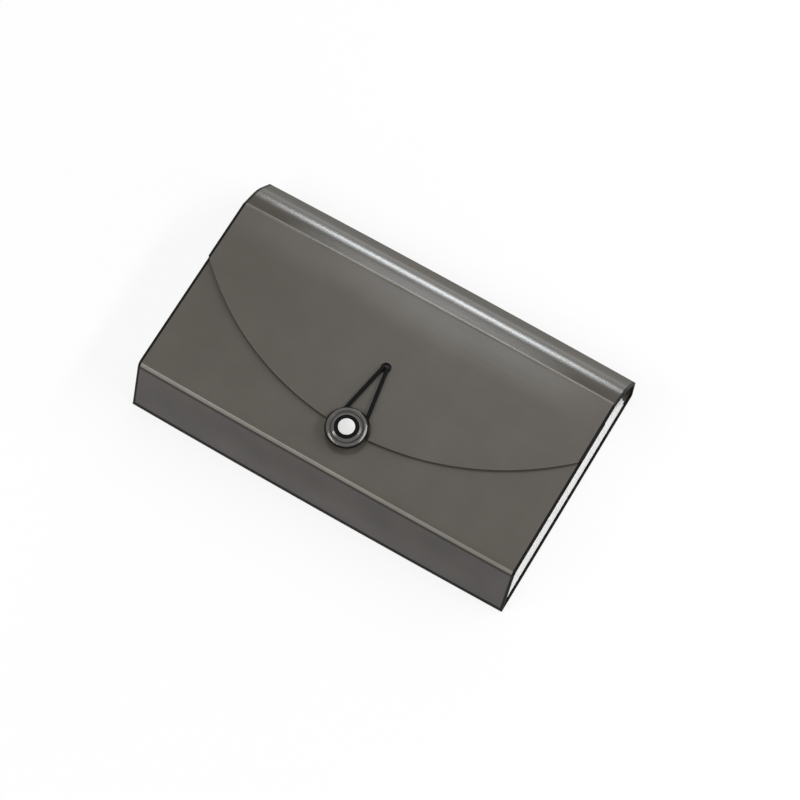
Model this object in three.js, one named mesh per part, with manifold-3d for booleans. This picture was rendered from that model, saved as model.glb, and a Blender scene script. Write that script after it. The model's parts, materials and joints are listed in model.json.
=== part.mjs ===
// Expanding document bag of check size, lying on its back with the flap closed.
// One scored plastic sheet wraps a fan of pale pockets.
// An elastic loop on the flap hooks a button on the front.
// Millimetres: X runs along the width, Y from the bottom panel to the spine, Z up through the thickness.
// The origin lies under the middle of the bag, on the surface that the back panel rests on.

import * as THREE from 'three';
import { mergeVertices } from 'three/addons/utils/BufferGeometryUtils.js';
import Module from 'manifold-3d';

const wasm = await Module();
wasm.setup();

// Cover: sheet, overall sizes and the places of its creases
const coverWidth = 254;
const coverSheet = 1.2;
const bodyDepth = 39; // middle of the back sheet to middle of the front sheet
const bottomLean = 12; // how far the back panel reaches out past the front bottom crease
const flapCreaseHeight = 117; // front bottom crease to flap crease
const frontStripRun = 15;
const frontStripDrop = 8;
const middleStripRun = 13;
const rearStripHeight = 16.6;
const rearStripLean = 1.5;
const frontTopGap = 5; // flap crease to the front panel's free top edge
const frontCornerRadius = 8;
const flapTipHeight = 26; // front bottom crease to the lowest point of the flap
const flapSideHeight = 78; // front bottom crease to where the flap's curve meets the sides

// Pockets
const dividerCount = 4;
const dividerSheet = 0.8;
const pocketTopGap = 1.5; // flap crease to the front pocket's top edge
const pocketInset = 1.6; // cover's side edge to the dividers' side edge
const tabWidth = 42;
const tabHeight = 5;
const tabSlope = 3;
const gussetSheet = 0.6;
const sideGussetDepth = 11;
const bottomGussetDepth = 8;
const gussetTopInset = 1; // a pocket's top edge to its gussets' top end

// Button
const buttonHeight = 25.4; // front bottom crease to the button's axis
const discRadius = 13;
const discRim = 1.9; // thickness at the outer ring
const discStep = 0.7; // depth of the grooves between the rings
const outerRingWidth = 2.6;
const grooveWidth = 1.8;
const collarRadius = 7.4;
const stemRadius = 2;
const capRadius = 5;
const capRise = 1.5;
const capRecess = 2.4; // cap to the inner ring round it
const tailFlange = 1.6; // how far the rivet's tail stands out past its stem
const tailThickness = 0.8;
const washerFlange = 6; // how far the washer stands out past the stem
const washerThickness = 1;

// Elastic loop
const cordRadius = 1.25;
const loopReach = 44.6; // button's axis to the hole in the flap
const anchorBarLength = 10;
const anchorBarWidth = 3;
const anchorBarThickness = 0.8;

// Clearances
const meetingGap = 0.3; // between pieces that touch
const pocketFloorGap = 0.6; // bottom panel to dividers and gussets
const spineGap = 1.6; // tallest divider's tab to the rear spine strip
const notchGap = 1; // button disc to the notch in the flap
const stemGap = 0.4; // rivet stem to the holes that it passes
const strandGap = 0.5; // between the loop's two strands in their hole
const holeGap = 0.55; // strands to the rim of their hole
const cornerGap = 1.5; // side gusset to bottom gusset

// Faceting
const roundSegments = 40;
const beadSegments = 12;
const arcSegments = 32;
const cordSides = 8;
const cordSteps = 92;

// Sizes that follow from those above
const flapGap = anchorBarThickness + 2 * meetingGap;
const strandSpacing = 2 * cordRadius + strandGap;
const loopHoleRadius = strandSpacing / 2 + cordRadius + holeGap;
const holeBendRadius = cordRadius + strandGap;

// Levels along Z
const backMiddle = coverSheet / 2;
const frontMiddle = backMiddle + bodyDepth;
const flapMiddle = frontMiddle + coverSheet + flapGap;
const backTop = coverSheet;
const frontBottom = frontMiddle - coverSheet / 2;
const frontTop = frontMiddle + coverSheet / 2;
const flapBottom = flapMiddle - coverSheet / 2;
const flapTop = flapMiddle + coverSheet / 2;
const cordMiddle = flapTop + meetingGap + cordRadius;
const discBottom = cordMiddle + cordRadius + meetingGap;

// Folds, as points in the Y-Z section, going round the bag from the front bottom crease
const halfWidth = coverWidth / 2;
const totalLength = bottomLean + flapCreaseHeight + frontStripRun + middleStripRun;
const bottomRearFold = new THREE.Vector2(-totalLength / 2, backMiddle);
const bottomFrontFold = new THREE.Vector2(bottomRearFold.x + bottomLean, frontMiddle);
const flapFold = new THREE.Vector2(bottomFrontFold.x + flapCreaseHeight, flapMiddle);
const upperSpineFold = new THREE.Vector2(flapFold.x + frontStripRun, flapMiddle - frontStripDrop);
const lowerSpineFold = new THREE.Vector2(upperSpineFold.x + middleStripRun, backMiddle + rearStripHeight);
const rearSpineFold = new THREE.Vector2(lowerSpineFold.x - rearStripLean, backMiddle);
const creaseY = bottomFrontFold.x;
const buttonY = creaseY + buttonHeight;
const anchorY = buttonY + loopReach;

// Materials
function plastic(color, roughness) {
  return new THREE.MeshStandardMaterial({ color, roughness, metalness: 0 });
}
const coverPlastic = () => plastic(0x64605b, 0.38);
const pocketPlastic = () => plastic(0xf2f2ef, 0.55);
const buttonPlastic = () => plastic(0x6e6b66, 0.32);
const rivetPlastic = () => plastic(0xf8f8f6, 0.3);
const elasticCord = () => plastic(0x141313, 0.85);
const crimpSteel = () => new THREE.MeshStandardMaterial({ color: 0x9a9a98, roughness: 0.35, metalness: 1 });

const bag = new THREE.Group();

function addPiece(name, geometry, material, parent = bag) {
  const mesh = new THREE.Mesh(geometry, material);
  mesh.name = name;
  parent.add(mesh);
  return mesh;
}

// Shapes shared by several pieces
function outline(points) {
  return new THREE.Shape(points.map(([u, v]) => new THREE.Vector2(u, v)));
}

function flatSheet(shape, bottom, thickness) {
  const geometry = new THREE.ExtrudeGeometry(shape, {
    depth: thickness,
    bevelEnabled: false,
    curveSegments: arcSegments,
  });
  return geometry.translate(0, 0, bottom);
}

const sectionToWidth = new THREE.Matrix4().makeBasis(
  new THREE.Vector3(0, 1, 0),
  new THREE.Vector3(0, 0, 1),
  new THREE.Vector3(1, 0, 0),
);

function alongWidth(section, width) {
  const geometry = new THREE.ExtrudeGeometry(section, { depth: width, bevelEnabled: false });
  return geometry.translate(0, 0, -width / 2).applyMatrix4(sectionToWidth);
}

function ring(profile) {
  const points = profile.map(([radius, height]) => new THREE.Vector2(radius, height));
  return new THREE.LatheGeometry(points, roundSegments).rotateX(Math.PI / 2);
}

function toSolid(geometry) {
  const bare = geometry.clone();
  bare.deleteAttribute('normal');
  bare.deleteAttribute('uv');
  const merged = mergeVertices(bare);
  return new wasm.Manifold(new wasm.Mesh({
    numProp: 3,
    vertProperties: new Float32Array(merged.attributes.position.array),
    triVerts: new Uint32Array(merged.index.array),
  }));
}

function cut(geometry, tool) {
  const mesh = toSolid(geometry).subtract(toSolid(tool)).getMesh();
  const result = new THREE.BufferGeometry();
  result.setAttribute('position', new THREE.BufferAttribute(mesh.vertProperties, 3));
  result.setIndex(new THREE.BufferAttribute(mesh.triVerts, 1));
  result.computeVertexNormals();
  return result;
}

// A panel ends short of its fold, so that it clears the living hinge and the next panel's inner corner
function foldInset(before, corner, after) {
  const one = before.clone().sub(corner).normalize();
  const two = after.clone().sub(corner).normalize();
  const half = Math.acos(one.dot(two)) / 2;
  const pastCorner = (meetingGap / 2 + (coverSheet / 2) * Math.cos(half)) / Math.sin(half);
  return Math.max(coverSheet / 2 + meetingGap, pastCorner);
}

const bottomRearInset = foldInset(rearSpineFold, bottomRearFold, bottomFrontFold);
const bottomFrontInset = foldInset(bottomRearFold, bottomFrontFold, flapFold);
const flapInset = foldInset(bottomFrontFold, flapFold, upperSpineFold);
const upperSpineInset = foldInset(flapFold, upperSpineFold, lowerSpineFold);
const lowerSpineInset = foldInset(upperSpineFold, lowerSpineFold, rearSpineFold);
const rearSpineInset = foldInset(lowerSpineFold, rearSpineFold, bottomRearFold);

// Cover panels and strips
function addStrip(name, from, to, fromInset, toInset) {
  const along = to.clone().sub(from).normalize();
  const across = new THREE.Vector2(-along.y, along.x).multiplyScalar(coverSheet / 2);
  const start = from.clone().addScaledVector(along, fromInset);
  const end = to.clone().addScaledVector(along, -toInset);
  const corners = [
    start.clone().sub(across),
    end.clone().sub(across),
    end.clone().add(across),
    start.clone().add(across),
  ];
  addPiece(name, alongWidth(new THREE.Shape(corners), coverWidth), coverPlastic());
}

function addLivingHinge(name, fold) {
  const bead = new THREE.CylinderGeometry(coverSheet / 2, coverSheet / 2, coverWidth, beadSegments);
  const mesh = addPiece(name, bead.rotateZ(Math.PI / 2), coverPlastic());
  mesh.position.set(0, fold.x, fold.y);
}

function addFrontPanel() {
  const low = creaseY + bottomFrontInset;
  const high = flapFold.x - frontTopGap;
  const cornerX = halfWidth - frontCornerRadius;
  const cornerY = high - frontCornerRadius;
  const shape = new THREE.Shape();
  shape.moveTo(-halfWidth, low);
  shape.lineTo(halfWidth, low);
  shape.lineTo(halfWidth, cornerY);
  shape.absarc(cornerX, cornerY, frontCornerRadius, 0, Math.PI / 2);
  shape.lineTo(-cornerX, high);
  shape.absarc(-cornerX, cornerY, frontCornerRadius, Math.PI / 2, Math.PI);
  shape.holes.push(new THREE.Path().absarc(0, buttonY, stemRadius + stemGap, 0, 2 * Math.PI));
  addPiece('front_panel', flatSheet(shape, frontBottom, coverSheet), coverPlastic());
}

function addFlap() {
  const sag = flapSideHeight - flapTipHeight;
  const curveRadius = (halfWidth ** 2 + sag ** 2) / (2 * sag);
  const curveY = creaseY + flapTipHeight + curveRadius;
  const halfAngle = Math.asin(halfWidth / curveRadius);
  const high = flapFold.x - flapInset;
  const shape = new THREE.Shape();
  shape.moveTo(halfWidth, high);
  shape.lineTo(-halfWidth, high);
  shape.absarc(0, curveY, curveRadius, -Math.PI / 2 - halfAngle, -Math.PI / 2 + halfAngle);
  shape.holes.push(new THREE.Path().absarc(0, anchorY, loopHoleRadius, 0, 2 * Math.PI));
  const notchRadius = discRadius + notchGap;
  const notchTool = coverSheet + 2 * notchGap;
  const notch = new THREE.CylinderGeometry(notchRadius, notchRadius, notchTool, roundSegments);
  notch.rotateX(Math.PI / 2).translate(0, buttonY, flapMiddle);
  addPiece('flap', cut(flatSheet(shape, flapBottom, coverSheet), notch), coverPlastic());
}

addStrip('back_panel', bottomRearFold, rearSpineFold, bottomRearInset, rearSpineInset);
addStrip('bottom_panel', bottomRearFold, bottomFrontFold, bottomRearInset, bottomFrontInset);
addStrip('rear_spine_strip', rearSpineFold, lowerSpineFold, rearSpineInset, lowerSpineInset);
addStrip('middle_spine_strip', lowerSpineFold, upperSpineFold, lowerSpineInset, upperSpineInset);
addStrip('front_spine_strip', upperSpineFold, flapFold, upperSpineInset, flapInset);
addFrontPanel();
addFlap();
addLivingHinge('bottom_rear_hinge', bottomRearFold);
addLivingHinge('bottom_front_hinge', bottomFrontFold);
addLivingHinge('rear_spine_hinge', rearSpineFold);
addLivingHinge('lower_spine_hinge', lowerSpineFold);
addLivingHinge('upper_spine_hinge', upperSpineFold);
addLivingHinge('flap_hinge', flapFold);

// Pockets: flat dividers between the back and front panels, closed at the sides and bottom by folded gussets
const pocketCount = dividerCount + 1;
const pocketDepth = (frontBottom - backTop - dividerCount * dividerSheet) / pocketCount;
const pocketPitch = pocketDepth + dividerSheet;
const pocketHalfWidth = halfWidth - pocketInset;
const frontPocketTop = flapFold.x - pocketTopGap;
const tallestTop = rearSpineFold.x - coverSheet / 2 - spineGap - tabHeight;
const pocketTopStep = (tallestTop - frontPocketTop) / dividerCount;

function pocketFloor(level) {
  const along = bottomFrontFold.clone().sub(bottomRearFold);
  const middle = bottomRearFold.x + ((level - bottomRearFold.y) * along.x) / along.y;
  const slantSheet = (coverSheet / 2) * (along.length() / along.y);
  return middle + slantSheet + pocketFloorGap;
}

// Each pocket stands higher than the one in front of it
function pocketTop(number) {
  return frontPocketTop + (pocketCount - number) * pocketTopStep;
}

function addDivider(number) {
  const bottom = backTop + number * pocketPitch - dividerSheet;
  const top = pocketTop(number);
  const floor = pocketFloor(bottom + dividerSheet);
  const tabSpan = (2 * pocketHalfWidth) / dividerCount;
  const tabMiddle = -pocketHalfWidth + (number - 0.5) * tabSpan;
  const shape = outline([
    [-pocketHalfWidth, floor],
    [pocketHalfWidth, floor],
    [pocketHalfWidth, top],
    [tabMiddle + tabWidth / 2, top],
    [tabMiddle + tabWidth / 2 - tabSlope, top + tabHeight],
    [tabMiddle - tabWidth / 2 + tabSlope, top + tabHeight],
    [tabMiddle - tabWidth / 2, top],
    [-pocketHalfWidth, top],
  ]);
  addPiece(`divider_${number}`, flatSheet(shape, bottom, dividerSheet), pocketPlastic());
}

// A gusset's folded section: two legs that meet at an inner crease, from an outer edge at "outer"
function gussetSection(outer, inward, depth, low, high) {
  const middle = (low + high) / 2;
  const innerDepth = depth * (1 - gussetSheet / (middle - low));
  return outline([
    [outer, low],
    [outer + inward * depth, middle],
    [outer, high],
    [outer, high - gussetSheet],
    [outer + inward * innerDepth, middle],
    [outer, low + gussetSheet],
  ]);
}

function addPocketGussets(number) {
  const low = backTop + (number - 1) * pocketPitch + meetingGap;
  const high = low + pocketDepth - 2 * meetingGap;
  const floor = pocketFloor(high);
  const top = pocketTop(number) - gussetTopInset;
  for (const [side, sign] of [['left', -1], ['right', 1]]) {
    const section = gussetSection(sign * pocketHalfWidth, -sign, sideGussetDepth, low, high);
    const fold = new THREE.ExtrudeGeometry(section, { depth: top - floor, bevelEnabled: false });
    const mesh = addPiece(`pocket_${number}_${side}_gusset`, fold, pocketPlastic());
    mesh.rotation.x = Math.PI / 2;
    mesh.position.y = top;
  }
  const width = 2 * (pocketHalfWidth - sideGussetDepth - cornerGap);
  const section = gussetSection(floor, 1, bottomGussetDepth, low, high);
  addPiece(`pocket_${number}_bottom_gusset`, alongWidth(section, width), pocketPlastic());
}

for (let number = 1; number <= dividerCount; number += 1) {
  addDivider(number);
}
for (let number = 1; number <= pocketCount; number += 1) {
  addPocketGussets(number);
}

// Button: a stepped disc that turns on a rivet, held off the front panel by a collar that the loop goes round
function addButton() {
  const place = new THREE.Group();
  place.position.y = buttonY;
  bag.add(place);

  const boreRadius = stemRadius + stemGap;
  const groove = discBottom + discRim - discStep;
  const crown = discBottom + discRim;
  const outerRingInside = discRadius - outerRingWidth;
  const innerRingOutside = outerRingInside - grooveWidth;
  const innerRingInside = capRadius + capRecess;
  const edge = discStep / 2;
  const disc = ring([
    [boreRadius, discBottom],
    [discRadius - edge, discBottom],
    [discRadius, discBottom + edge],
    [discRadius, crown - edge],
    [discRadius - edge, crown],
    [outerRingInside, crown],
    [outerRingInside, groove],
    [innerRingOutside, groove],
    [innerRingOutside, crown],
    [innerRingInside, crown],
    [innerRingInside, groove],
    [boreRadius, groove],
    [boreRadius, discBottom],
  ]);
  addPiece('button_disc', disc, buttonPlastic(), place);

  const collarBottom = frontTop + meetingGap;
  const collarTop = discBottom - meetingGap;
  const collar = ring([
    [boreRadius, collarBottom],
    [collarRadius, collarBottom],
    [collarRadius, collarTop],
    [boreRadius, collarTop],
    [boreRadius, collarBottom],
  ]);
  addPiece('button_collar', collar, buttonPlastic(), place);

  const washerTop = frontBottom - meetingGap;
  const washerBottom = washerTop - washerThickness;
  const washer = ring([
    [boreRadius, washerBottom],
    [stemRadius + washerFlange, washerBottom],
    [stemRadius + washerFlange, washerTop],
    [boreRadius, washerTop],
    [boreRadius, washerBottom],
  ]);
  addPiece('button_washer', washer, buttonPlastic(), place);

  const tailTop = washerBottom - meetingGap;
  const tailBottom = tailTop - tailThickness;
  const capBottom = groove + meetingGap;
  const domeSteps = 4;
  const dome = [];
  for (let step = 0; step <= domeSteps; step += 1) {
    const angle = (step / domeSteps) * (Math.PI / 2);
    dome.push([capRadius * Math.cos(angle), capBottom + capRise * (1 + Math.sin(angle)) / 2]);
  }
  dome[domeSteps][0] = 0;
  const rivet = ring([
    [0, tailBottom],
    [stemRadius + tailFlange, tailBottom],
    [stemRadius + tailFlange, tailTop],
    [stemRadius, tailTop],
    [stemRadius, capBottom],
    [capRadius, capBottom],
    ...dome,
  ]);
  addPiece('button_rivet', rivet, rivetPlastic(), place);
}

// Elastic loop: up through the hole in the flap, down to the button, round its collar and back
function loopRoute() {
  const start = strandSpacing / 2;
  const bendEndY = anchorY - holeBendRadius;
  const turnRadius = collarRadius + meetingGap + cordRadius;
  const reach = Math.hypot(start, bendEndY - buttonY);
  const bearing = Math.atan2(bendEndY - buttonY, start);
  const touch = bearing - Math.acos(turnRadius / reach);
  const bendLevel = cordMiddle - holeBendRadius;
  const half = [
    [start, anchorY, flapBottom + meetingGap / 2],
    [start, anchorY, bendLevel],
    [start, anchorY - holeBendRadius * (1 - Math.SQRT1_2), bendLevel + holeBendRadius * Math.SQRT1_2],
    [start, bendEndY, cordMiddle],
  ];
  const turnSteps = 8;
  for (let step = 0; step <= turnSteps; step += 1) {
    const angle = touch - (step / turnSteps) * (touch + Math.PI / 2);
    half.push([turnRadius * Math.cos(angle), buttonY + turnRadius * Math.sin(angle), cordMiddle]);
  }
  const back = half.slice(0, -1).reverse().map(([x, y, z]) => [-x, y, z]);
  return [...half, ...back].map(([x, y, z]) => new THREE.Vector3(x, y, z));
}

function addLoop() {
  const route = new THREE.CatmullRomCurve3(loopRoute(), false, 'centripetal');
  const section = new THREE.Shape();
  for (let side = 0; side < cordSides; side += 1) {
    const angle = (side / cordSides) * 2 * Math.PI;
    const place = [cordRadius * Math.cos(angle), cordRadius * Math.sin(angle)];
    if (side === 0) {
      section.moveTo(...place);
    } else {
      section.lineTo(...place);
    }
  }
  const cord = new THREE.ExtrudeGeometry(section, { steps: cordSteps, extrudePath: route });
  addPiece('elastic_loop', cord, elasticCord());

  const endX = (anchorBarLength - anchorBarWidth) / 2;
  const endRadius = anchorBarWidth / 2;
  const bar = new THREE.Shape();
  bar.absarc(endX, anchorY, endRadius, -Math.PI / 2, Math.PI / 2);
  bar.absarc(-endX, anchorY, endRadius, Math.PI / 2, 1.5 * Math.PI);
  const barBottom = flapBottom - meetingGap / 2 - anchorBarThickness;
  addPiece('loop_anchor_bar', flatSheet(bar, barBottom, anchorBarThickness), crimpSteel());
}

addButton();
addLoop();

export default bag;
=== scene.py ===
"""Looks of the expanding document bag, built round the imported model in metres."""

import json
import math

import bmesh
import bpy
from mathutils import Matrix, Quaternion, Vector


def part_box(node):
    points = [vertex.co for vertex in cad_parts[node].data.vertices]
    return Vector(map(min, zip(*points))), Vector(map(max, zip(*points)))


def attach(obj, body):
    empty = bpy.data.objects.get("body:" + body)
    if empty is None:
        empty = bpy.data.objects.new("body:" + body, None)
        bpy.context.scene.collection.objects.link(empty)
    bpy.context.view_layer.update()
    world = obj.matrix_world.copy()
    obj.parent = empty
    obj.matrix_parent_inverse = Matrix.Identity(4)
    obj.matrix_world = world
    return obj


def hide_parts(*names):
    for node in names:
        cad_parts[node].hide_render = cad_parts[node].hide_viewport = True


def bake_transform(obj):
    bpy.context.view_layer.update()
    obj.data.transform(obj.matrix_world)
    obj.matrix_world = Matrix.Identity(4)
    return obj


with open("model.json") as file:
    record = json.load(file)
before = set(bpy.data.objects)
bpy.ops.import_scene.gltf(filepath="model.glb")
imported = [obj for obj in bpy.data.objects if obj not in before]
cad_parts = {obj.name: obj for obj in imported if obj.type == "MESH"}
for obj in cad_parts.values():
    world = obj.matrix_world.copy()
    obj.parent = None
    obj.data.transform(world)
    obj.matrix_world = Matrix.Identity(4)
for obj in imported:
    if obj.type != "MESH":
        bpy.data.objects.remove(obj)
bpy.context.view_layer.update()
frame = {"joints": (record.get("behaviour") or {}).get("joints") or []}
scene = bpy.context.scene

MM = 0.001


def middle(node):
    low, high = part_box(node)
    return (low + high) / 2


def joint_place(name):
    return Vector(next(j for j in frame["joints"] if j["name"] == name)["pos_m"])


# Places taken from the frame
HALF_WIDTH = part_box("back_panel")[1].x
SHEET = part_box("front_panel")[1].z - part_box("front_panel")[0].z
REAR_BOTTOM = middle("bottom_rear_hinge")
FRONT_BOTTOM = middle("bottom_front_hinge")
REAR_SPINE = middle("rear_spine_hinge")
LOWER_SPINE = middle("lower_spine_hinge")
UPPER_SPINE = middle("upper_spine_hinge")
FLAP_FOLD = middle("flap_hinge")
BAG_MIDDLE = Vector((0, (REAR_BOTTOM.y + UPPER_SPINE.y) / 2, FRONT_BOTTOM.z / 2))
BUTTON = joint_place("button_spin")
DISC_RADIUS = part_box("button_disc")[1].x
COLLAR_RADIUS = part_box("button_collar")[1].x
LOOP_HOLE = joint_place("loop_swing")
POCKETS = 5
DIVIDERS = POCKETS - 1
DIVIDER_BODIES = ("first_divider", "second_divider", "third_divider", "fourth_divider")
CHAIN = ("back_cover", *DIVIDER_BODIES, "front_cover")  # the sheets that the pockets lie between

# Mesh making
SHARP_ANGLE = math.radians(48)  # edges that turn more than this are shaded sharp
MERGE_DISTANCE = 1e-7
ROUND_SEGMENTS = 96
CUTTER_SEGMENTS = 64
CUTTER_HEIGHT = 6 * SHEET
CORNER_STEPS = 4
CORNER_SHARE = 0.45  # most that a corner's rounding takes of a side
PLACE_DIGITS = 7  # decimals of a place across the width, so that equal places merge

# Cover sheet
POLISH = "polish"  # the mesh's record of where handling has polished the sheet
# Polish is full within the first distance of a fold and gone at the second, and the third number is
# how much less of it there is at the bag's ends than at mid width.
FLAP_POLISH = (4 * MM, 24 * MM, 0.6)
RIDGE_POLISH = (4 * MM, 8 * MM, 0.4)
STRIP_POLISH = (6 * MM, 15 * MM, 1.6)
RIM = 0.45 * MM  # rounding of the sheet's free edges
RIM_STEPS = (0.0, 0.12, 0.4, 1.0, 1.8)  # distances of rows from a free edge, in roundings
RIM_WIDTH = RIM * RIM_STEPS[-1]
RIM_END = 0.2  # share of the sheet's thickness that is left at a free edge
EDGE_BAND = 1.7 * MM  # width of the dark band along the cut side edges: a dark cut edge and painted shade
FOLD_BAND = 2.6 * MM  # and of the painted shade along the bottom rear fold
COLUMN_STEP = 5 * MM
ROW_STEP = 5 * MM
CREASE_FLAT = 0.6 * MM  # flat stretch at each side of a crease's bend
CREASE_STEPS = 18
SCORE_AND_HIGHLIGHT_SHARES = (0.36, 0.7)  # part of the bottom front bend that its pale line takes: a stress-whitened score with a painted highlight
SCORE_SHADE_SHARES = (0.75, 1.0)  # and the painted shade beside it, dark where a groove would lie in shade
FLAP_SCORE_AND_HIGHLIGHT_SHARES = (0.25, 0.7)  # the part of the flap's bend with the pale line: a faint score with a painted highlight
SCORE_BEAD = 0.1 * MM  # how far the score stands proud along a crease
FACING_OUT = 0.5  # least agreement of a face's normal with the outward one
FLAP_RIM_TILT = (0.25, 0.95)  # upward part of the normal on the flap's rounded rim, where a painted highlight goes
BOW_Y = 0.010  # share by which the bag is longer at mid width than at its ends
BOW_Z = 0.003  # and by which it is thicker there
BOTTOM_SWELL = 0.5 * MM
FRONT_SWELL = 0.15 * MM
FLAP_TIP_HEIGHT = 26 * MM  # bottom front crease to the flap's lowest point
FLAP_SIDE_HEIGHT = 78 * MM  # bottom front crease to where the flap's curve meets the sides
FRONT_CORNER = 8 * MM
FRONT_CORNER_ANGLES = (0, 15, 30, 45, 60, 72, 82)  # where extra columns follow the corner's round
NOTCH_GAP = 1 * MM  # button to the notch in the flap
STEM_HOLE_RADIUS = 2.4 * MM

# Pockets
GUSSET_SHEET = 0.5 * MM
GUSSET_TOP_INSET = 1 * MM  # a pleat's top below its divider's shoulder
PLEAT_STEPS = 12
LEG_STEPS = 6  # rows on each leg of a pleat's fold
DIVIDER_CORNER = 4 * MM
DIVIDER_RIM = 0.15 * MM
TAB_CORNER = 1.5 * MM
TAB_SLOPE = 3 * MM
TAB_WIDTH = 42 * MM

# Button
STEP = 0.7 * MM  # depth of the disc's groove and recess
DISC_EDGE = 0.22 * MM  # rounding of the disc's edges
WALL_DRAFT = 1.0 * MM  # how far the disc's side leans in towards its top
RING_CHAMFER = 1.3 * MM
RING_DROP = 0.66 * MM  # height of the chamfer
RING_TOP = 0.2 * MM  # flat top of the outer ring
RING_SLOPE = 0.5 * MM  # its inner slope down to the groove
GROOVE = 1 * MM
INNER_SLOPE = 1.37 * MM
SIDE_PAINT = 2.6 * MM  # how far in from the disc's rim the side's faces with painted shade may lie
PAINT_SLACK = 0.02 * MM
COLLAR_EDGE = 0.4 * MM
WASHER_EDGE = 0.3 * MM
CAP_RADIUS = 5 * MM
CAP_RECESS = 2.4 * MM  # width of the recess round the cap
CAP_EDGE = 0.25 * MM
CAP_SHOULDER = 0.6  # share of the cap's height at which its dome starts
DOME_STEPS = 14
STEM_GAP = 0.4 * MM
TAIL_HEIGHT = 0.8 * MM
TAIL_LAP = 1.6 * MM  # the rivet's tail past its stem
TAIL_EDGE = 0.3 * MM
MEETING_GAP = 0.3 * MM

# Elastic loop
STRAND_GAP = 0.5 * MM
HOLE_GAP = 0.55 * MM  # strands to the rim of their hole
CORD_RADIUS = (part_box("elastic_loop")[1].x - COLLAR_RADIUS - MEETING_GAP) / 2
LOOP_HOLE_RADIUS = 2 * CORD_RADIUS + STRAND_GAP / 2 + HOLE_GAP
CORD_STEP = 0.3 * MM
CORD_SIDES = 24
BEND_STEPS = 6
STRAND_STEPS = 24
TURN_STEPS = 30
NEARLY_UPRIGHT = 0.05  # level part of a run's direction below which it counts as upright
BRAID_RIDGES = 6
BRAID_PITCH = 5.2 * MM
BRAID_RELIEF = 0.07  # depth of the ridges, as a share of the cord's radius
PLATE_LAP = 0.7 * MM  # end plate past the rim of the loop's hole
PLATE_RIM = 0.2 * MM
PLATE_STEPS = 16

# Camera, as fitted to the bag's corners in the photo
AZIMUTH = math.radians(30.6)
ELEVATION = math.radians(69.5)
CAMERA_DISTANCE = 1.79
CAMERA_AIM = Vector((0.0091, 0.0042, 0))
FOCAL_PIXELS = 3000
FRAME_PIXELS = 800

# Stage
FLOOR_HALF = 8
FLOOR_DROP = 0.3 * MM
FLOOR_COLOUR = (0.9, 0.9, 0.9, 1)
FLOOR_GLOW = 1.1  # strength of the white that the camera sees on the floor
GLOW_SHARE = 0.72  # that white's part of what it sees there, the rest being lit floor and shadow
AMBIENT = 0.42
WHITE = (1, 1, 1)
COOL = (0.92, 0.97, 1)  # tint of the lamps that make the sheen near the spine
LAMP_AIM = Vector((0, 0, 0.02))

# Materials
NOISE_LOW, NOISE_HIGH = 0.3, 0.7  # the range that most of a noise lies in
SHEET_IOR = 1.49
DRAWN = (0.04, 1, 1)  # stretch of the sheet's draw lines along the width
BRUSHED = (0.05, 1, 1)  # and of the steel's streaks


# Mesh helpers
def add_object(name, data):
    thing = bpy.data.objects.new(name, data)
    scene.collection.objects.link(thing)
    return thing


def settle(mesh):
    """Merges doubled points, turns the faces outwards and shades the mesh."""
    bm = bmesh.new()
    bm.from_mesh(mesh)
    bmesh.ops.remove_doubles(bm, verts=bm.verts, dist=MERGE_DISTANCE)
    bmesh.ops.recalc_face_normals(bm, faces=bm.faces)
    bm.to_mesh(mesh)
    bm.free()
    mesh.shade_smooth()
    mesh.set_sharp_from_angle(angle=SHARP_ANGLE)


def mesh_object(name, points, faces):
    mesh = bpy.data.meshes.new(name)
    mesh.from_pydata([tuple(p) for p in points], [], faces)
    settle(mesh)
    return add_object(name, mesh)


def grid_rim(count, width):
    """The numbers of the points round a grid of count rows with width points each."""
    last = (count - 1) * width
    rim = [*range(width), *range(2 * width - 1, last + width, width)]
    return rim + [*range(last + width - 2, last - 1, -1), *range(last - width, 0, -width)]


def thin_solid(name, rows):
    """A closed sheet from rows of (point, offset): its middle surface and half its thickness there."""
    width = len(rows[0])
    outer = [p + o for row in rows for p, o in row]
    inner = [p - o for row in rows for p, o in row]
    base = len(outer)
    faces = []
    for i in range(len(rows) - 1):
        for j in range(width - 1):
            a = i * width + j
            quad = (a, a + 1, a + width + 1, a + width)
            faces.append(quad)
            faces.append(tuple(base + k for k in reversed(quad)))
    rim = grid_rim(len(rows), width)
    for a, b in zip(rim, rim[1:] + rim[:1]):
        faces.append((a, b, base + b, base + a))
    return mesh_object(name, outer + inner, faces)


def sheet_from_outline(name, outline, low, high, rim):
    """A flat sheet between two levels, from an outline of (x, y) pairs, with a rounded rim."""
    bm = bmesh.new()
    face = bm.faces.new([bm.verts.new((x, y, low)) for x, y in outline])
    grown = bmesh.ops.extrude_face_region(bm, geom=[face])["geom"]
    raised = [v for v in grown if isinstance(v, bmesh.types.BMVert)]
    bmesh.ops.translate(bm, verts=raised, vec=(0, 0, high - low))
    flat = [e for e in bm.edges if abs(e.verts[0].co.z - e.verts[1].co.z) < (high - low) / 2]
    bmesh.ops.bevel(bm, geom=flat, offset=rim, segments=2, profile=0.5, affect="EDGES")
    mesh = bpy.data.meshes.new(name)
    bm.to_mesh(mesh)
    bm.free()
    settle(mesh)
    return add_object(name, mesh)


def cut(piece, tool):
    """Takes the tool's shape out of the piece."""
    modifier = piece.modifiers.new("cut", "BOOLEAN")
    modifier.operation = "DIFFERENCE"
    modifier.solver = "EXACT"
    modifier.object = tool
    graph = bpy.context.evaluated_depsgraph_get()
    mesh = bpy.data.meshes.new_from_object(piece.evaluated_get(graph))
    piece.modifiers.clear()
    piece.data = mesh
    settle(mesh)
    bpy.data.objects.remove(tool)


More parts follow.
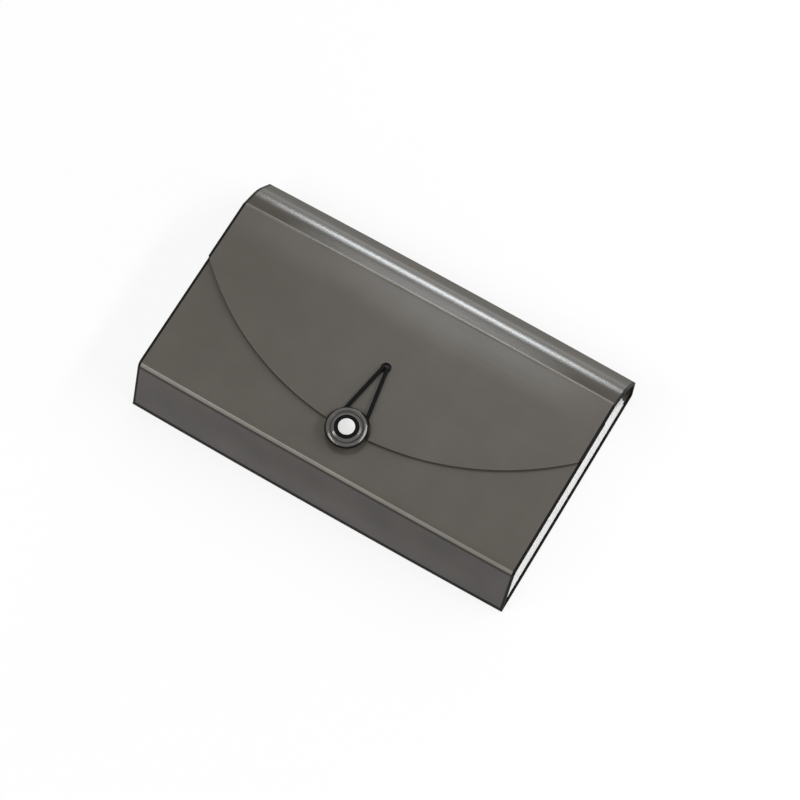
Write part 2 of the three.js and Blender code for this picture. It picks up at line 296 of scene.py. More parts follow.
def rounded(points, radius):
    """The closed outline through these points, given as pairs, with its corners rounded."""
    result = []
    for i, point in enumerate(points):
        corner = Vector(point)
        before = Vector(points[i - 1]) - corner
        after = Vector(points[(i + 1) % len(points)]) - corner
        reach = min(radius, CORNER_SHARE * before.length, CORNER_SHARE * after.length)
        start = corner + before.normalized() * reach
        end = corner + after.normalized() * reach
        for k in range(CORNER_STEPS + 1):
            t = k / CORNER_STEPS
            result.append(start * (1 - t) ** 2 + corner * 2 * t * (1 - t) + end * t * t)
    return result


def lathe(name, profile, centre, segments=ROUND_SEGMENTS):
    """Turns a closed outline of (radius, height) pairs round the vertical through centre."""
    points = []
    for k in range(segments):
        angle = 2 * math.pi * k / segments
        for radius, height in profile:
            x = centre.x + radius * math.cos(angle)
            y = centre.y + radius * math.sin(angle)
            points.append(Vector((x, y, height)))
    count = len(profile)
    faces = []
    for k in range(segments):
        near = k * count
        far = ((k + 1) % segments) * count
        for j in range(count):
            after = (j + 1) % count
            if profile[j][0] > 0 or profile[after][0] > 0:
                faces.append((near + j, far + j, far + after, near + after))
    return mesh_object(name, points, faces)


def cutter(name, centre, radius):
    """A round tool through a sheet at centre."""
    low = centre.z - CUTTER_HEIGHT / 2
    high = centre.z + CUTTER_HEIGHT / 2
    profile = [(0, low), (radius, low), (radius, high), (0, high)]
    return lathe(name, profile, centre, CUTTER_SEGMENTS)


# Materials
def start_material(name):
    material = bpy.data.materials.new(name)
    material.use_nodes = True
    tree = material.node_tree
    return material, tree, tree.nodes["Principled BSDF"]


def object_places(tree, stretch=(1, 1, 1)):
    places = tree.nodes.new("ShaderNodeTexCoord").outputs["Object"]
    mapping = tree.nodes.new("ShaderNodeMapping")
    mapping.inputs["Scale"].default_value = stretch
    tree.links.new(places, mapping.inputs["Vector"])
    return mapping.outputs["Vector"]


def noise(tree, places, scale, detail):
    node = tree.nodes.new("ShaderNodeTexNoise")
    node.inputs["Scale"].default_value = scale
    node.inputs["Detail"].default_value = detail
    tree.links.new(places, node.inputs["Vector"])
    return node.outputs["Fac"]


def tones(tree, value, dark, light, start=NOISE_LOW):
    """A colour that goes from dark to light with the value."""
    node = tree.nodes.new("ShaderNodeValToRGB")
    stops = ((start, dark), (NOISE_HIGH, light))
    for element, (place, colour) in zip(node.color_ramp.elements, stops):
        element.position = place
        element.color = (*colour, 1)
    tree.links.new(value, node.inputs["Fac"])
    return node.outputs["Color"]


def spread(tree, value, low, high, start=NOISE_LOW, stop=NOISE_HIGH):
    """A number that goes from low to high as the value goes from start to stop."""
    node = tree.nodes.new("ShaderNodeMapRange")
    node.inputs["From Min"].default_value = start
    node.inputs["From Max"].default_value = stop
    node.inputs["To Min"].default_value = low
    node.inputs["To Max"].default_value = high
    tree.links.new(value, node.inputs["Value"])
    return node.outputs["Result"]


def bump(tree, value, depth, strength, under=None):
    """A relief of the value, on top of the relief under it where there is one."""
    node = tree.nodes.new("ShaderNodeBump")
    node.inputs["Distance"].default_value = depth
    node.inputs["Strength"].default_value = strength
    tree.links.new(value, node.inputs["Height"])
    if under is not None:
        tree.links.new(under, node.inputs["Normal"])
    return node.outputs["Normal"]


def sheet_material(name, dark, light, rough, gloss=0.5, rubbed=None):
    """Extruded polypropylene sheet: faint blotches, fine matt grain and long draw lines.

    rubbed is its gloss where handling has polished it, as the mesh's "polish" tells.
    """
    material, tree, shader = start_material(name)
    places = object_places(tree)
    drawn = object_places(tree, DRAWN)
    blotches = noise(tree, places, scale=38, detail=4)
    tree.links.new(tones(tree, blotches, dark, light), shader.inputs["Base Color"])
    scuffs = noise(tree, drawn, scale=500, detail=3)
    tree.links.new(spread(tree, scuffs, *rough), shader.inputs["Roughness"])
    lines = bump(tree, noise(tree, drawn, scale=1400, detail=2), depth=0.02 * MM, strength=0.07)
    matt = noise(tree, places, scale=2600, detail=2)
    grain = bump(tree, matt, depth=0.03 * MM, strength=0.12, under=lines)
    tree.links.new(grain, shader.inputs["Normal"])
    shader.inputs["IOR"].default_value = SHEET_IOR
    if rubbed is None:
        shader.inputs["Specular IOR Level"].default_value = gloss
    else:
        wear = tree.nodes.new("ShaderNodeAttribute")
        wear.attribute_name = POLISH
        level = spread(tree, wear.outputs["Fac"], gloss, rubbed, start=0, stop=1)
        tree.links.new(level, shader.inputs["Specular IOR Level"])
    return material


def frosted_material():
    """White frosted polypropylene of the pockets."""
    material, tree, shader = start_material("frosted_white")
    places = object_places(tree)
    cloud = noise(tree, places, scale=60, detail=3)
    colour = tones(tree, cloud, dark=(0.92, 0.92, 0.91), light=(0.955, 0.955, 0.945))
    tree.links.new(colour, shader.inputs["Base Color"])
    haze = noise(tree, places, scale=800, detail=3)
    tree.links.new(spread(tree, haze, low=0.46, high=0.58), shader.inputs["Roughness"])
    frost = noise(tree, places, scale=3000, detail=2)
    tree.links.new(bump(tree, frost, depth=0.03 * MM, strength=0.25), shader.inputs["Normal"])
    shader.inputs["Subsurface Weight"].default_value = 0.25
    shader.inputs["Subsurface Radius"].default_value = (1, 1, 1)
    shader.inputs["Subsurface Scale"].default_value = 1.5 * MM
    return material


def moulded_material(name, dark, light, rough, gloss=0.5):
    """Moulded plastic: nearly even colour, slight flow marks and a fine skin."""
    material, tree, shader = start_material(name)
    places = object_places(tree)
    flow = noise(tree, places, scale=220, detail=3)
    tree.links.new(tones(tree, flow, dark, light), shader.inputs["Base Color"])
    marks = noise(tree, places, scale=1500, detail=3)
    tree.links.new(spread(tree, marks, *rough), shader.inputs["Roughness"])
    skin = noise(tree, places, scale=3500, detail=2)
    tree.links.new(bump(tree, skin, depth=0.02 * MM, strength=0.15), shader.inputs["Normal"])
    shader.inputs["Specular IOR Level"].default_value = gloss
    return material


def elastic_material():
    """Black braided textile over rubber."""
    material, tree, shader = start_material("black_elastic")
    fibres = noise(tree, object_places(tree), scale=3200, detail=4)
    colour = tones(tree, fibres, dark=(0.004, 0.004, 0.004), light=(0.016, 0.015, 0.015), start=0.35)
    tree.links.new(colour, shader.inputs["Base Color"])
    tree.links.new(spread(tree, fibres, low=0.6, high=0.8), shader.inputs["Roughness"])
    tree.links.new(bump(tree, fibres, depth=0.05 * MM, strength=0.5), shader.inputs["Normal"])
    shader.inputs["Sheen Weight"].default_value = 0.02
    shader.inputs["Specular IOR Level"].default_value = 0.06
    return material


def steel_material():
    """Blackened steel with long streaks."""
    material, tree, shader = start_material("blackened_steel")
    streaks = noise(tree, object_places(tree, BRUSHED), scale=2600, detail=3)
    colour = tones(tree, streaks, dark=(0.025, 0.025, 0.026), light=(0.045, 0.045, 0.046))
    tree.links.new(colour, shader.inputs["Base Color"])
    tree.links.new(spread(tree, streaks, low=0.28, high=0.42), shader.inputs["Roughness"])
    shader.inputs["Metallic"].default_value = 1
    return material


COVER = sheet_material(
    "charcoal_sheet",
    dark=(0.1, 0.089, 0.074),
    light=(0.114, 0.102, 0.086),
    rough=(0.21, 0.26),
    gloss=0.36,
    rubbed=0.8,
)
# Lighter colour for the bottom front bend: a stress-whitened score with a painted highlight on it.
SCORE_AND_HIGHLIGHT = sheet_material(
    "pale_score_and_painted_highlight",
    dark=(0.215, 0.197, 0.166),
    light=(0.28, 0.259, 0.223),
    rough=(0.22, 0.28),
)
# Lighter colour for the flap's bend and the upper side of its rounded rim: a faint score on the bend, and
# a painted highlight on both.
FLAP_SCORE_AND_HIGHLIGHT = sheet_material(
    "flap_score_and_painted_highlight",
    dark=(0.14, 0.127, 0.106),
    light=(0.19, 0.175, 0.15),
    rough=(0.22, 0.28),
    gloss=0.15,
)
# Painted shade: a dark band beside the pale score line, where a groove would lie in shade.
SCORE_SHADE = sheet_material(
    "painted_score_shade",
    dark=(0.034, 0.029, 0.026),
    light=(0.046, 0.039, 0.036),
    rough=(0.3, 0.36),
    gloss=0.2,
)
# A darker copy of the cover for the spine strips and creases: painted shade, with less gloss.
SPINE_SHADED = sheet_material(
    "charcoal_spine_painted_shade",
    dark=(0.083, 0.074, 0.062),
    light=(0.096, 0.086, 0.073),
    rough=(0.22, 0.26),
    gloss=0.03,
    rubbed=0.5,
)
# A darker copy of the cover for the bottom panel: painted shade.
BOTTOM_SHADED = sheet_material(
    "charcoal_bottom_painted_shade",
    dark=(0.054, 0.046, 0.041),
    light=(0.074, 0.063, 0.057),
    rough=(0.28, 0.31),
    gloss=0.35,
)
# Near black for the cut side edges and the bottom rear fold: a dark cut edge, with painted shade along
# the edges and along the fold.
EDGE_AND_SHADE = sheet_material(
    "dark_cut_edge_and_painted_shade",
    dark=(0.004, 0.004, 0.004),
    light=(0.008, 0.0078, 0.0075),
    rough=(0.45, 0.55),
    gloss=0.12,
)
FROSTED = frosted_material()
BUTTON_GREY = moulded_material(
    "button_grey",
    dark=(0.085, 0.079, 0.071),
    light=(0.101, 0.095, 0.086),
    rough=(0.1, 0.14),
)
# Painted shade in the button's groove.
GROOVE_SHADE = moulded_material(
    "groove_painted_shade",
    dark=(0.028, 0.026, 0.024),
    light=(0.036, 0.034, 0.031),
    rough=(0.2, 0.3),
    gloss=0.3,
)
# Painted shade: black in the recess round the cap, and on the disc's side where a shadow falls under it.
RECESS_AND_SIDE_SHADE = moulded_material(
    "recess_and_side_painted_shade",
    dark=(0.003, 0.003, 0.003),
    light=(0.006, 0.006, 0.006),
    rough=(0.45, 0.6),
    gloss=0.1,
)
RIVET_WHITE = moulded_material(
    "rivet_white",
    dark=(0.9, 0.9, 0.89),
    light=(0.94, 0.94, 0.93),
    rough=(0.2, 0.3),
)
ELASTIC = elastic_material()
STEEL = steel_material()


def dress(piece, material, slot, body, *nodes):
    """Gives a rigid piece its finish, its body and the CAD nodes that it stands for."""
    piece.data.materials.append(material)
    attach(piece, body)
    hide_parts(*nodes)


def dress_bending(piece, material, slot, bodies, start, end, *nodes):
    """Gives a piece that lies between two bodies its finish and hides the CAD nodes that it stands for;
    the piece is joined to neither body.
    """
    piece.data.materials.append(material)
    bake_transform(piece)
    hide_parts(*nodes)


def paint(piece, material, chosen):
    """Gives another finish to the faces that chosen(face) picks."""
    piece.data.materials.append(material)
    index = len(piece.data.materials) - 1
    for face in piece.data.polygons:
        if chosen(face):
            face.material_index = index


def polish_at(point, fold, near, far, end_loss):
    distance = math.hypot(point.y - fold.y, point.z - fold.z)
    share = min(1.0, max(0.0, (far - distance) / (far - near)))
    ends = (point.x / HALF_WIDTH) ** 2
    return share * share * (3 - 2 * share) * max(0.0, 1 - end_loss * ends)


def polish(piece, *folds):
    """Marks the sheet as polished near these folds, each given with its reach."""
    layer = piece.data.attributes.new(POLISH, "FLOAT", "POINT")
    for vertex, entry in zip(piece.data.vertices, layer.data):
        entry.value = max(polish_at(vertex.co, fold, *reach) for fold, reach in folds)


# Cover
def fullness(x):
    """1 at mid width and 0 at the bag's ends."""
    return 1 - (x / HALF_WIDTH) ** 2


def bowed(point):
    """The bag is a little fuller at mid width than at its ends."""
    share = fullness(point.x)
    return Vector((point.x, point.y * (1 + BOW_Y * share), point.z * (1 + BOW_Z * share)))


def unbowed_section(point):
    """Where a point of the bowed bag lies in its plain section."""
    share = fullness(point.x)
    return Vector((0, point.y / (1 + BOW_Y * share), point.z / (1 + BOW_Z * share)))


def rim_share(distance):
    """The sheet's thickness, as a share of the full one, at this distance from a free edge."""
    inside = min(1.0, max(0.0, distance / RIM))
    return max(RIM_END, math.sqrt(1 - (1 - inside) ** 2))


def side_share(x):
    return rim_share(HALF_WIDTH - abs(x))


def at_side(face):
    return abs(face.center.x) > HALF_WIDTH - EDGE_BAND


def at_rear_fold(face):
    return (Vector((0, face.center.y, face.center.z)) - REAR_BOTTOM).length < FOLD_BAND


def at_side_or_rear_fold(face):
    return at_side(face) or at_rear_fold(face)


def columns(extra=()):
    """Places along the width, close together at the rounded side edges."""
    reach = HALF_WIDTH - EDGE_BAND
    count = round(2 * reach / COLUMN_STEP)
    inside = [-reach + 2 * reach * k / count for k in range(count + 1)]
    ends = [HALF_WIDTH - RIM * s for s in RIM_STEPS]
    places = [*inside, *ends, *(-x for x in ends), *extra]
    return sorted({round(x, PLACE_DIGITS) for x in places})


def panel_column(low, high, free_low, free_high, shares):
    """(distance along the sheet, share of its thickness) at each row of one column of a panel."""
    start = low + (RIM_WIDTH if free_low else 0)
    stop = high - (RIM_WIDTH if free_high else 0)
    rims = [(RIM * s, rim_share(RIM * s)) for s in RIM_STEPS[:-1]]
    rows = [(start + (stop - start) * share, 1.0) for share in shares]
    if free_low:
        rows = [(low + distance, edge) for distance, edge in rims] + rows
    if free_high:
        rows += [(high - distance, edge) for distance, edge in reversed(rims)]
    return rows


def panel(name, origin, along, low, high, free_low=False, free_high=False, swell=0.0, extra=(), band=0.0):
    """A sheet in the plane through origin that runs along the width and "along".

    low and high give its ends, as distances along it, at each place across the width. A free end
    is rounded. extra names further columns, and band is the distance from the low end to a
    further row, where the painted shade along the fold stops.
    """
    outward = Vector((0, -along.z, along.y))
    if outward.dot(origin - BAG_MIDDLE) < 0:
        outward.negate()
    length = high(0) - low(0)
    steps = max(2, round(length / ROW_STEP))
    shares = [k / steps for k in range(steps + 1)]
    if band > 0:
        shares = sorted([*shares, band / length])
    grid = []
    for x in columns(extra):
        column = []
        for distance, edge in panel_column(low(x), high(x), free_low, free_high, shares):
            share = min(1, max(0, (distance - low(0)) / length))
            lift = swell * math.sin(math.pi * share) ** 2 * fullness(x)
            point = bowed(origin + along * distance + Vector((x, 0, 0)))
            half = SHEET / 2 * min(edge, side_share(x))
            column.append((point + outward * lift, outward * half))
        grid.append(column)
    return thin_solid(name, list(zip(*grid)))


def level(distance):
    """The same distance at every place across the width."""
    return lambda x: distance


def nose(name, along, stop, swell=0.0):
    """A panel that starts in a half round on the bottom rear fold and ends at "stop"."""
    return panel(
        name,
        REAR_BOTTOM,
        along,
        low=level(-SHEET / 2),
        high=level(stop),
        free_low=True,
        swell=swell,
        band=FOLD_BAND,
    )


class Bend:
    """The round of a crease between two straight runs of the cover's section."""

    def __init__(self, before, corner, after, radius):
        self.corner = corner
        self.incoming = (corner - before).normalized()
        self.outgoing = (after - corner).normalized()
        self.turn = self.incoming.angle(self.outgoing)
        self.radius = radius
        self.reach = radius * math.tan(self.turn / 2)
        self.start = corner - self.incoming * (self.reach + CREASE_FLAT)
        self.end = corner + self.outgoing * (self.reach + CREASE_FLAT)

    def section(self):
        """(point, outward normal, share of the bend) along the crease."""
        inward = (self.outgoing - self.incoming).normalized()
        centre = self.corner + inward * (self.radius / math.cos(self.turn / 2))
        first = (self.corner - self.incoming * self.reach - centre).normalized()
        last = (self.corner + self.outgoing * self.reach - centre).normalized()
        result = [(self.start, first, 0.0)]
        for k in range(CREASE_STEPS + 1):
            share = k / CREASE_STEPS
            normal = first.slerp(last, share)
            result.append((centre + normal * self.radius, normal, share))
        result.append((self.end, last, 1.0))
        return result


def flat_to(fold, y):
    return Vector((0, y, fold.z))


BENDS = {
    "bottom_front": Bend(flat_to(FRONT_BOTTOM, 0), FRONT_BOTTOM, REAR_BOTTOM, radius=4.5 * MM),
    "rear_spine": Bend(REAR_BOTTOM, REAR_SPINE, LOWER_SPINE, radius=1.6 * MM),
    "lower_spine": Bend(REAR_SPINE, LOWER_SPINE, UPPER_SPINE, radius=3.2 * MM),
    "upper_spine": Bend(LOWER_SPINE, UPPER_SPINE, FLAP_FOLD, radius=30 * MM),
    "flap": Bend(UPPER_SPINE, FLAP_FOLD, flat_to(FLAP_FOLD, 0), radius=6 * MM),
}


def crease(name):
    """The bent stretch of the sheet between two panels."""
    rows = []
    for point, normal, share in BENDS[name].section():
        bead = SCORE_BEAD * math.sin(math.pi * share) ** 2
        row = []
        for x in columns():
            half = SHEET / 2 * side_share(x)
            place = bowed(point + Vector((x, 0, 0)))
            row.append((place + normal * bead / 2, normal * (half + bead / 2)))
        rows.append(row)
    return thin_solid(f"{name}_crease", rows)


def paint_bend(piece, bend, shares, material):
    """Gives a run of a bend's outside, from one share of the bend to another, its own finish."""
    section = bend.section()

    def picked(face):
        plain = unbowed_section(face.center)
        _, normal, share = min(section, key=lambda entry: (entry[0] - plain).length)
        return face.normal.dot(normal) > FACING_OUT and shares[0] <= share <= shares[1]

    paint(piece, material, picked)


def make_back_and_bottom():
    back_run = (BENDS["rear_spine"].start - REAR_BOTTOM).length
    back = nose("back_cover_panel", Vector((0, 1, 0)), back_run)
    dress(back, COVER, "cover", "back_cover", "back_panel", "bottom_rear_hinge")
    # dark cut edge and painted shade along the sides, painted shade along the rear fold
    paint(back, EDGE_AND_SHADE, at_side_or_rear_fold)

    slope = (FRONT_BOTTOM - REAR_BOTTOM).normalized()
    bend = BENDS["bottom_front"]
    bottom_run = (bend.end - REAR_BOTTOM).length
    bottom = nose("bottom_cover_panel", slope, bottom_run, BOTTOM_SWELL)
    # darker bottom colour: painted shade
    dress(bottom, BOTTOM_SHADED, "cover", "front_cover", "bottom_panel")
    # dark cut edge and painted shade along the sides, painted shade along the rear fold
    paint(bottom, EDGE_AND_SHADE, at_side_or_rear_fold)

    front_crease = crease("bottom_front")
    dress(front_crease, COVER, "cover", "front_cover", "bottom_front_hinge")
    # pale line on the bend: score and painted highlight
    paint_bend(front_crease, bend, SCORE_AND_HIGHLIGHT_SHARES, SCORE_AND_HIGHLIGHT)
    # painted shade beside the pale line
    paint_bend(front_crease, bend, SCORE_SHADE_SHARES, SCORE_SHADE)
    # dark cut edge and painted shade along the sides
    paint(front_crease, EDGE_AND_SHADE, at_side)


def make_front_panel():
    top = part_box("front_panel")[1].y
    corner_x = HALF_WIDTH - FRONT_CORNER

    def high(x):
        past = min(FRONT_CORNER, max(0.0, abs(x) - corner_x))
        return top - FRONT_CORNER + math.sqrt(FRONT_CORNER**2 - past**2)

    corners = [corner_x + FRONT_CORNER * math.sin(math.radians(a)) for a in FRONT_CORNER_ANGLES]
    front = panel(
        "front_cover_panel",
        flat_to(FRONT_BOTTOM, 0),
        Vector((0, 1, 0)),
        low=level(BENDS["bottom_front"].start.y),
        high=high,
        free_high=True,
        swell=FRONT_SWELL,
        extra=corners + [-x for x in corners],
    )
    cut(front, cutter("stem_hole", flat_to(FRONT_BOTTOM, BUTTON.y), STEM_HOLE_RADIUS))
    dress(front, COVER, "cover", "front_cover", "front_panel")
    # dark cut edge and painted shade along the sides
    paint(front, EDGE_AND_SHADE, at_side)


def make_spine_strips():
    strips = (
        ("rear_spine", "rear_spine", "lower_spine"),
        ("middle_spine", "lower_spine", "upper_spine"),
        ("front_spine", "upper_spine", "flap"),
    )
    for body, first, second in strips:
        start = BENDS[first].end
        run = BENDS[second].start - start
        name = f"{body}_cover_strip"
        strip = panel(name, start, run.normalized(), low=level(0.0), high=level(run.length))
        # darker spine colour: painted shade
        dress(strip, SPINE_SHADED, "cover", body, f"{body}_strip")
        worn = [(UPPER_SPINE, RIDGE_POLISH)]
        if body == "front_spine":
            worn.append((FLAP_FOLD, STRIP_POLISH))
        polish(strip, *worn)
        # dark cut edge and painted shade along the sides
        paint(strip, EDGE_AND_SHADE, at_side)


def make_spine_creases():
    # the spine creases take the darker spine colour, which is painted shade
    folds = (
        ("rear_spine", "back_cover", "rear_spine", SPINE_SHADED),
        ("lower_spine", "rear_spine", "middle_spine", SPINE_SHADED),
        ("upper_spine", "middle_spine", "front_spine", SPINE_SHADED),
        ("flap", "front_spine", "flap_cover", COVER),
    )
    for name, before, after, finish in folds:
        bend = BENDS[name]
        piece = crease(name)
        dress_bending(piece, finish, "cover", (before, after), bend.start, bend.end, f"{name}_hinge")
        if name == "flap":
            polish(piece, (FLAP_FOLD, FLAP_POLISH))
            # pale line on the flap's bend: score and painted highlight
            paint_bend(piece, bend, FLAP_SCORE_AND_HIGHLIGHT_SHARES, FLAP_SCORE_AND_HIGHLIGHT)
        else:
            polish(piece, (UPPER_SPINE, RIDGE_POLISH))
        # dark cut edge and painted shade along the sides
        paint(piece, EDGE_AND_SHADE, at_side)


def make_flap():
    tip = FRONT_BOTTOM.y + FLAP_TIP_HEIGHT
    sag = FLAP_SIDE_HEIGHT - FLAP_TIP_HEIGHT
    radius = (HALF_WIDTH**2 + sag**2) / (2 * sag)
    flap = panel(
        "flap_cover_panel",
        flat_to(FLAP_FOLD, 0),
        Vector((0, 1, 0)),
        low=lambda x: tip + radius - math.sqrt(radius**2 - x**2),
        high=level(BENDS["flap"].end.y),
        free_low=True,
    )
    cut(flap, cutter("notch", flat_to(FLAP_FOLD, BUTTON.y), DISC_RADIUS + NOTCH_GAP))
    cut(flap, cutter("loop_hole", flat_to(FLAP_FOLD, LOOP_HOLE.y), LOOP_HOLE_RADIUS))
    dress(flap, COVER, "cover", "flap_cover", "flap")
    polish(flap, (FLAP_FOLD, FLAP_POLISH))
    # painted highlight on the upward faces of the flap's rounded rim
    paint(flap, FLAP_SCORE_AND_HIGHLIGHT, lambda face: FLAP_RIM_TILT[0] < face.normal.z < FLAP_RIM_TILT[1])
    # dark cut edge and painted shade along the sides
    paint(flap, EDGE_AND_SHADE, at_side)


# Pockets
def make_divider(number):
    """The sheet in front of a pocket, with its index tab."""
    node = f"divider_{number}"
    low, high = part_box(node)
    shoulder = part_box(f"pocket_{number}_left_gusset")[1].y + GUSSET_TOP_INSET
    tab_middle = low.x + (number - 0.5) * (high.x - low.x) / DIVIDERS
    left = tab_middle - TAB_WIDTH / 2
    right = tab_middle + TAB_WIDTH / 2
    tab = rounded(
        [(right, shoulder), (right - TAB_SLOPE, high.y), (left + TAB_SLOPE, high.y), (left, shoulder)],
        TAB_CORNER,
    )
    sheet = rounded(
        [(low.x, low.y), (high.x, low.y), (high.x, shoulder), (low.x, shoulder)],
        DIVIDER_CORNER,
    )
    per_corner = CORNER_STEPS + 1
    tab_top = tab[per_corner : 3 * per_corner]
    outline = sheet[: 3 * per_corner] + [Vector((right, shoulder))] + tab_top
    outline += [Vector((left, shoulder))] + sheet[3 * per_corner :]
    piece = sheet_from_outline(f"pocket_divider_{number}", outline, low.z, high.z, DIVIDER_RIM)
    dress(piece, FROSTED, "pocket", DIVIDER_BODIES[number - 1], node)


def folded_path(outer, inner, low, high):
    """(across, height, normal) along a pleat's fold, from its lower to its upper edge."""
    corner = Vector((inner, (low + high) / 2))
    lower = Vector((outer, low))
    upper = Vector((outer, high))
    points = [lower.lerp(corner, k / LEG_STEPS) for k in range(LEG_STEPS)]
    points += [upper.lerp(corner, k / LEG_STEPS) for k in range(LEG_STEPS, -1, -1)]
    result = []
    for k, point in enumerate(points):
        before = points[max(0, k - 1)]
        after = points[min(len(points) - 1, k + 1)]
        run = (after - before).normalized()
        result.append((point.x, point.y, Vector((run.y, -run.x))))
    return result


def side_pleat_rows(low, high):
    half = GUSSET_SHEET / 2
    outer = max(low.x, high.x, key=abs)
    inner = min(low.x, high.x, key=abs)
    heights = [low.y + (high.y - low.y) * k / PLEAT_STEPS for k in range(PLEAT_STEPS + 1)]
    rows = []
    for x, z, normal in folded_path(outer, inner, low.z + half, high.z - half):
        offset = Vector((normal.x, 0, normal.y)) * half
        rows.append([(Vector((x, y, z)), offset) for y in heights])
    return rows


def bottom_pleat_rows(low, high):
    half = GUSSET_SHEET / 2
    rows = []
    for y, z, normal in folded_path(low.y, high.y, low.z + half, high.z - half):
        offset = Vector((0, normal.x, normal.y)) * half
        rows.append([(Vector((x, y, z)), offset) for x in (low.x, 0, high.x)])
    return rows


def make_pleats(number):
    """A pocket's folded sides and bottom, which lie between the sheets behind and in front of it."""
    kinds = (("left", side_pleat_rows), ("right", side_pleat_rows), ("bottom", bottom_pleat_rows))
    bodies = CHAIN[number - 1 : number + 1]
    for side, rows in kinds:
        node = f"pocket_{number}_{side}_gusset"
        low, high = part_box(node)
        piece = thin_solid(f"pocket_{number}_{side}_pleat", rows(low, high))
        start = Vector((0, 0, low.z))
        end = Vector((0, 0, high.z))
        dress_bending(piece, FROSTED, "pocket", bodies, start, end, node)


# Button
def from_button(face):
    """Distance of a face from the button's axis."""
    return math.hypot(face.center.x - BUTTON.x, face.center.y - BUTTON.y)


def make_disc():
    low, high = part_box("button_disc")
    deep = high.z - STEP
    wall_top = high.z - RING_DROP
    ring_out = DISC_RADIUS - WALL_DRAFT
    crest = ring_out - RING_CHAMFER - RING_TOP
    groove_out = crest - RING_SLOPE
    groove_in = groove_out - GROOVE
    recess = CAP_RADIUS + CAP_RECESS
    profile = [
        (STEM_HOLE_RADIUS, low.z),
        (DISC_RADIUS, low.z),
        (ring_out, wall_top),
        (ring_out - RING_CHAMFER, high.z),
        (crest, high.z),
        (groove_out, deep),
        (groove_in, deep),
        (groove_in - INNER_SLOPE, high.z),
        (recess, high.z),
        (recess, deep),
        (STEM_HOLE_RADIUS, deep),
    ]
    disc = lathe("button_stepped_disc", rounded(profile, DISC_EDGE), BUTTON)
    dress(disc, BUTTON_GREY, "button", "button", "button_disc")

    def in_groove(face):
        return groove_in < from_button(face) < groove_out and face.center.z < deep + STEP / 2

    def in_recess(face):
        return from_button(face) < recess + PAINT_SLACK and face.center.z > deep - DISC_EDGE

    def on_side(face):
        return from_button(face) > DISC_RADIUS - SIDE_PAINT and face.center.z < wall_top

    # painted shade in the groove
    paint(disc, GROOVE_SHADE, in_groove)
    # painted shade in the recess round the cap and on the disc's side
    paint(disc, RECESS_AND_SIDE_SHADE, lambda face: in_recess(face) or on_side(face))


def make_ring(name, node, edge):
    """A round of the button with the stem's hole through it."""
    low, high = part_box(node)
    bore = STEM_HOLE_RADIUS
    profile = rounded([(bore, low.z), (high.x, low.z), (high.x, high.z), (bore, high.z)], edge)
    dress(lathe(name, profile, BUTTON), BUTTON_GREY, "button", "front_cover", node)


def make_rivet():
    low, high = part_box("button_rivet")
    cap_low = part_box("button_disc")[1].z - STEP + MEETING_GAP
    stem = STEM_HOLE_RADIUS - STEM_GAP
    tail_high = low.z + TAIL_HEIGHT
    tail_radius = stem + TAIL_LAP
    profile = [
        (0, low.z),
        (tail_radius - TAIL_EDGE, low.z),
        (tail_radius, low.z + TAIL_EDGE),
        (tail_radius, tail_high),
        (stem, tail_high),
        (stem, cap_low),
        (CAP_RADIUS - CAP_EDGE, cap_low),
        (CAP_RADIUS, cap_low + CAP_EDGE),
    ]
    shoulder = cap_low + CAP_SHOULDER * (high.z - cap_low)
    for k in range(DOME_STEPS):
        angle = math.pi / 2 * k / DOME_STEPS
        profile.append((CAP_RADIUS * math.cos(angle), shoulder + (high.z - shoulder) * math.sin(angle)))
    profile.append((0, high.z))
    rivet = lathe("button_cap_rivet", profile, BUTTON)
    dress(rivet, RIVET_WHITE, "rivet", "front_cover", "button_rivet")


# Elastic loop
def loop_route():
    """Up through the hole in the flap, to the button, round its collar and back."""
    start = CORD_RADIUS + STRAND_GAP / 2
    bend = CORD_RADIUS + STRAND_GAP
    turn = COLLAR_RADIUS + MEETING_GAP + CORD_RADIUS
    bend_end = LOOP_HOLE.y - bend
    reach = math.hypot(start, bend_end - BUTTON.y)
    touch = math.atan2(bend_end - BUTTON.y, start) - math.acos(turn / reach)

    def round_collar(angle):
        return Vector((turn * math.cos(angle), BUTTON.y + turn * math.sin(angle), LOOP_HOLE.z))

    half = [Vector((start, LOOP_HOLE.y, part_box("flap")[0].z + MEETING_GAP / 2))]
    for k in range(BEND_STEPS + 1):
        angle = math.pi / 2 * k / BEND_STEPS
        y = LOOP_HOLE.y - bend * (1 - math.cos(angle))
        z = LOOP_HOLE.z - bend * (1 - math.sin(angle))
        half.append(Vector((start, y, z)))
    leave = half[-1]
    half += [leave.lerp(round_collar(touch), k / STRAND_STEPS) for k in range(1, STRAND_STEPS)]
    for k in range(TURN_STEPS + 1):
        half.append(round_collar(touch - (k / TURN_STEPS) * (touch + math.pi / 2)))
    return half + [Vector((-p.x, p.y, p.z)) for p in reversed(half[:-1])]


def evenly(points, step):
    """The same line with points at an even spacing."""
    lengths = [0.0]
    for a, b in zip(points, points[1:]):
        lengths.append(lengths[-1] + (b - a).length)
    count = round(lengths[-1] / step)
    result = []
    k = 0
    for i in range(count + 1):
        target = lengths[-1] * i / count
        while k < len(points) - 2 and lengths[k + 1] < target:
            k += 1
        span = lengths[k + 1] - lengths[k]
        result.append(points[k].lerp(points[k + 1], (target - lengths[k]) / span))
    return result


